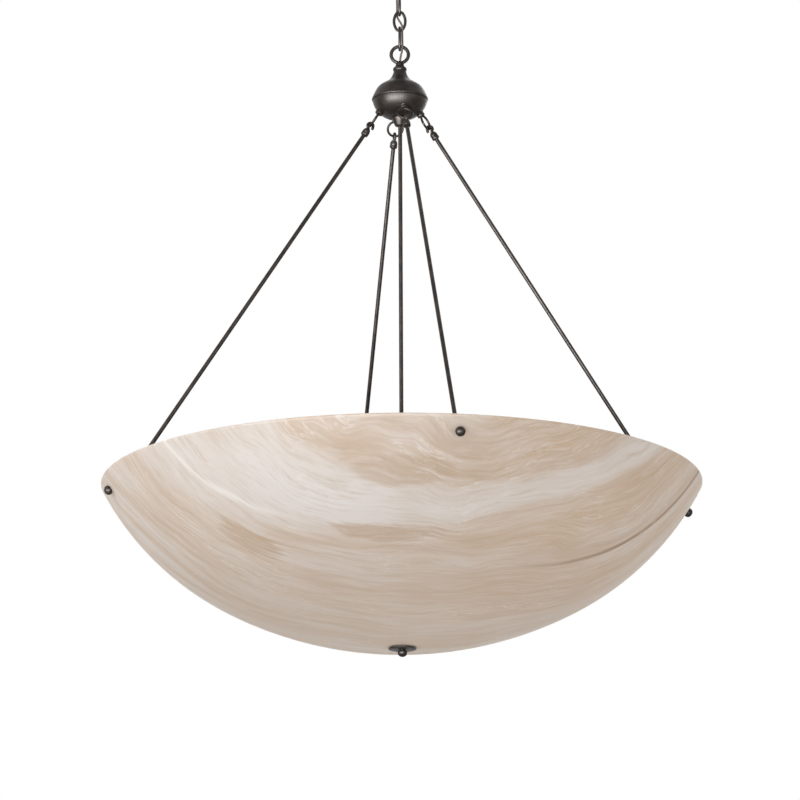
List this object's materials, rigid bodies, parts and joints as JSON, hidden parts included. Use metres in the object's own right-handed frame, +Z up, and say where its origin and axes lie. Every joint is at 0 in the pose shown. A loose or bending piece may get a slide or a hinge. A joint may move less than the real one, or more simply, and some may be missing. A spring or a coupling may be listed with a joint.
{
  "type": "bowl pendant light",
  "caption": "Ceiling pendant with a wide veined stone-look bowl hung by slim bronze rods from a bronze hub, on a short chain with a woven-through cord.",
  "frame": {"origin": "centre of the ceiling plate, in the plane of the ceiling", "axes": "+Z up, away from the light; -Y towards the viewer, with the front rod turned a little towards +X"},
  "size_m": [0.9144, 0.9144, 1.1221],
  "materials": {
    "bronze": "satin",
    "zinc_steel": "satin",
    "cord_cover": "matte",
    "stone_resin": "satin",
    "gasket": "matte",
    "white_enamel": "gloss",
    "holder_ceramic": "gloss",
    "bulb_glass": "frosted",
    "cap_brass": "satin"
  },
  "bodies": {
    "canopy": {"ceiling_canopy": "bronze", "mounting_bar": "zinc_steel", "bar_lock_nut": "zinc_steel", "canopy_nipple": "zinc_steel", "canopy_loop": "bronze", "canopy_collar": "bronze", "supply_cord_1": "cord_cover"},
    "upper_link": {"connecting_link_top": "bronze", "supply_cord_2": "cord_cover"},
    "middle_link": {"chain_link": "bronze", "supply_cord_3": "cord_cover"},
    "lower_link": {"connecting_link_bottom": "bronze"},
    "pendant": {"arm_loop_back": "bronze", "arm_loop_front": "bronze", "arm_loop_left": "bronze", "arm_loop_nuts": "zinc_steel", "arm_loop_right": "bronze", "bowl": "stone_resin", "bowl_gasket": "gasket", "bowl_seat_nut": "zinc_steel", "bowl_seat_washer": "zinc_steel", "bulb_caps": "cap_brass", "bulb_glass_1": "bulb_glass", "bulb_glass_2": "bulb_glass", "bulb_glass_3": "bulb_glass", "bulb_glass_4": "bulb_glass", "bulb_glass_5": "bulb_glass", "bulb_glass_6": "bulb_glass", "centre_stem": "bronze", "cluster_body": "white_enamel", "cluster_nuts": "zinc_steel", "finial_knob": "bronze", "finial_washer": "bronze", "hub_bottom_collar": "bronze", "hub_loop": "bronze", "hub_lower_shell": "bronze", "hub_neck_collar": "bronze", "hub_tube": "zinc_steel", "hub_upper_shell": "bronze", "lamp_holder_1": "holder_ceramic", "lamp_holder_2": "holder_ceramic", "lamp_holder_3": "holder_ceramic", "lamp_holder_4": "holder_ceramic", "lamp_holder_5": "holder_ceramic", "lamp_holder_6": "holder_ceramic", "rim_knobs": "bronze", "rim_lugs": "bronze", "rod_back": "bronze", "rod_ferrules": "bronze", "rod_front": "bronze", "rod_hook_back": "bronze", "rod_hook_front": "bronze", "rod_hook_left": "bronze", "rod_hook_right": "bronze", "rod_left": "bronze", "rod_right": "bronze", "supply_cord_4": "cord_cover"}
  },
  "joints": [
    {"name": "upper_link_swing", "type": "hinge", "parent": "canopy", "child": "upper_link", "pos_m": [0, 0, -0.0692], "axis": [1, 0, 0], "range_deg": [-20, 20], "deforming": ["supply_cord_1"]},
    {"name": "middle_link_swing", "type": "hinge", "parent": "upper_link", "child": "middle_link", "pos_m": [0, 0, -0.09995], "axis": [0, 1, 0], "range_deg": [-20, 20], "deforming": ["supply_cord_2"]},
    {"name": "lower_link_swing", "type": "hinge", "parent": "middle_link", "child": "lower_link", "pos_m": [0, 0, -0.12605], "axis": [1, 0, 0], "range_deg": [-20, 20], "deforming": ["supply_cord_3"]},
    {"name": "pendant_swing", "type": "hinge", "parent": "lower_link", "child": "pendant", "pos_m": [0, 0, -0.15735], "axis": [0, 1, 0], "range_deg": [-20, 20], "deforming": ["supply_cord_4"]}
  ]
}
